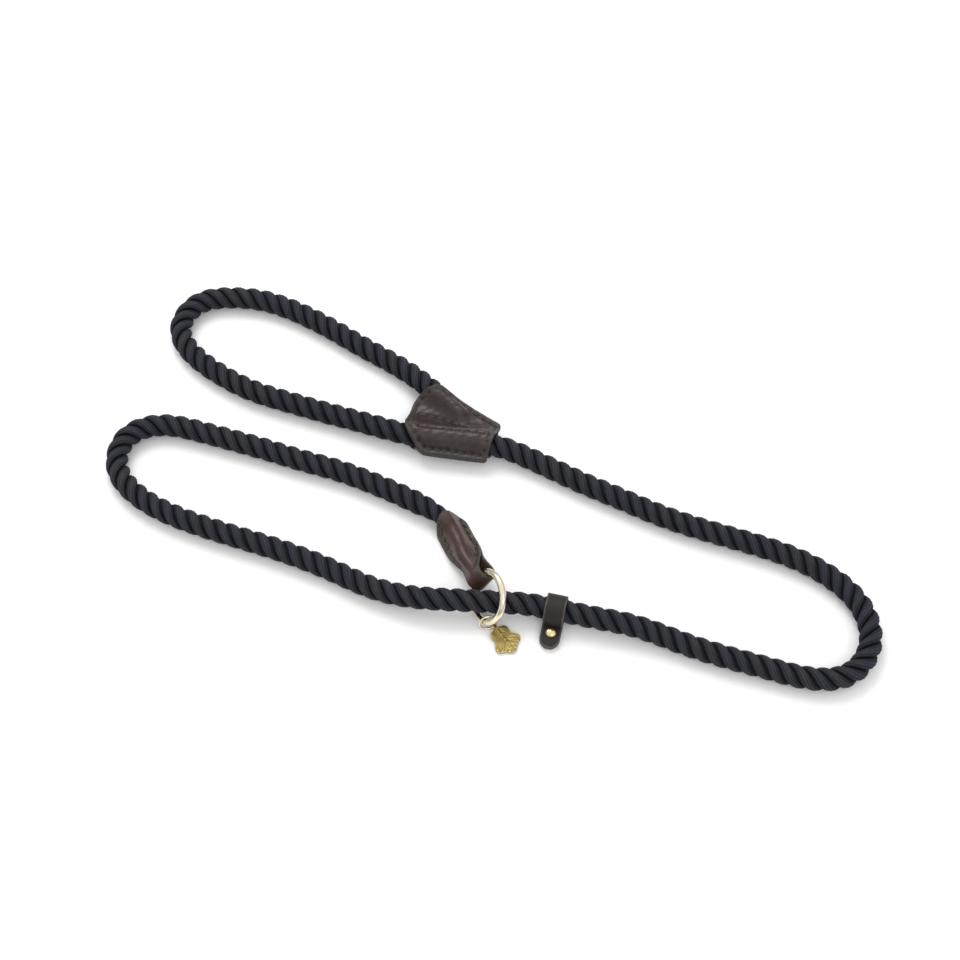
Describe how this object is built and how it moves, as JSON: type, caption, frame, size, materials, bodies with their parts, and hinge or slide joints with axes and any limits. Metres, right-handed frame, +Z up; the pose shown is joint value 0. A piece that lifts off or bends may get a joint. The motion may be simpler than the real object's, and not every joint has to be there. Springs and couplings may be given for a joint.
{
  "type": "rope dog slip lead",
  "caption": "Rope slip lead for a dog: a handle loop with a stitched leather splice, a sliding leather stop, and a leather tab that holds a ring and a small charm.",
  "frame": {"origin": "on the floor the lead lies on, under the middle of its outline", "axes": "+Z up from the floor; +X along the lead's longest extent, from the slip loop's far end to the wide bend; +Y towards the handle loop's side"},
  "size_m": [0.3976, 0.2366, 0.0255],
  "materials": {
    "rope": "matt three-strand cotton rope, dark navy",
    "whipping": "waxed twine",
    "chocolate": "semi-gloss waxed leather, dark brown",
    "chestnut": "glossy waxed leather, reddish brown",
    "black": "matt leather, very dark brown",
    "thread": "waxed sewing thread, brown",
    "ring": "polished pale gold",
    "charm": "antique brass, darkened in the hollows",
    "rivet": "satin pale brass"
  },
  "bodies": {
    "lead_body": {"rope_handle_loop": "rope", "rope_standing_part": "rope", "rope_slip_bend": "rope", "handle_end_whipping": "whipping", "splice_cover_front": "chocolate", "splice_cover_back": "chocolate", "cover_edge_thread": "thread", "cover_upper_seam_thread": "thread", "cover_lower_seam_thread": "thread"},
    "slip_end": {"rope_slip_leg": "rope", "slip_end_whipping": "whipping", "slip_tab": "chestnut", "tab_left_seam_thread": "thread", "tab_right_seam_thread": "thread"},
    "ring": {"o_ring": "ring"},
    "link": {"jump_ring": "ring"},
    "charm": {"leaf_charm": "charm"},
    "stop": {"stop_strap": "black", "stop_rivet_cap": "rivet", "stop_rivet_back": "rivet"}
  },
  "joints": [
    {"name": "slip_travel", "type": "slide", "parent": "lead_body", "child": "slip_end", "axis": [0.999, -0.045, 0], "range_m": [-0.015, 0.003], "deforming": ["rope_slip_bend"]},
    {"name": "ring_pivot", "type": "hinge", "parent": "slip_end", "child": "ring", "pos_m": [-0.00223, -0.06004, 0.01258], "axis": [0.4807, 0.1947, 0.855], "range_deg": [-4.5, 1]},
    {"name": "jump_ring_swing", "type": "hinge", "parent": "ring", "child": "link", "pos_m": [0.00097, -0.08225, 0.00579], "axis": [0.5807, -0.4992, 0.6431], "range_deg": [-6, 6]},
    {"name": "charm_swing", "type": "hinge", "parent": "link", "child": "charm", "pos_m": [0.00496, -0.08288, 0.00198], "axis": [-0.6661, -0.3964, -0.6319], "range_deg": [0, 70]},
    {"name": "stop_slide", "type": "slide", "parent": "lead_body", "child": "stop", "axis": [0.9756, -0.2195, 0], "range_m": [-0.002, 0.03]}
  ]
}
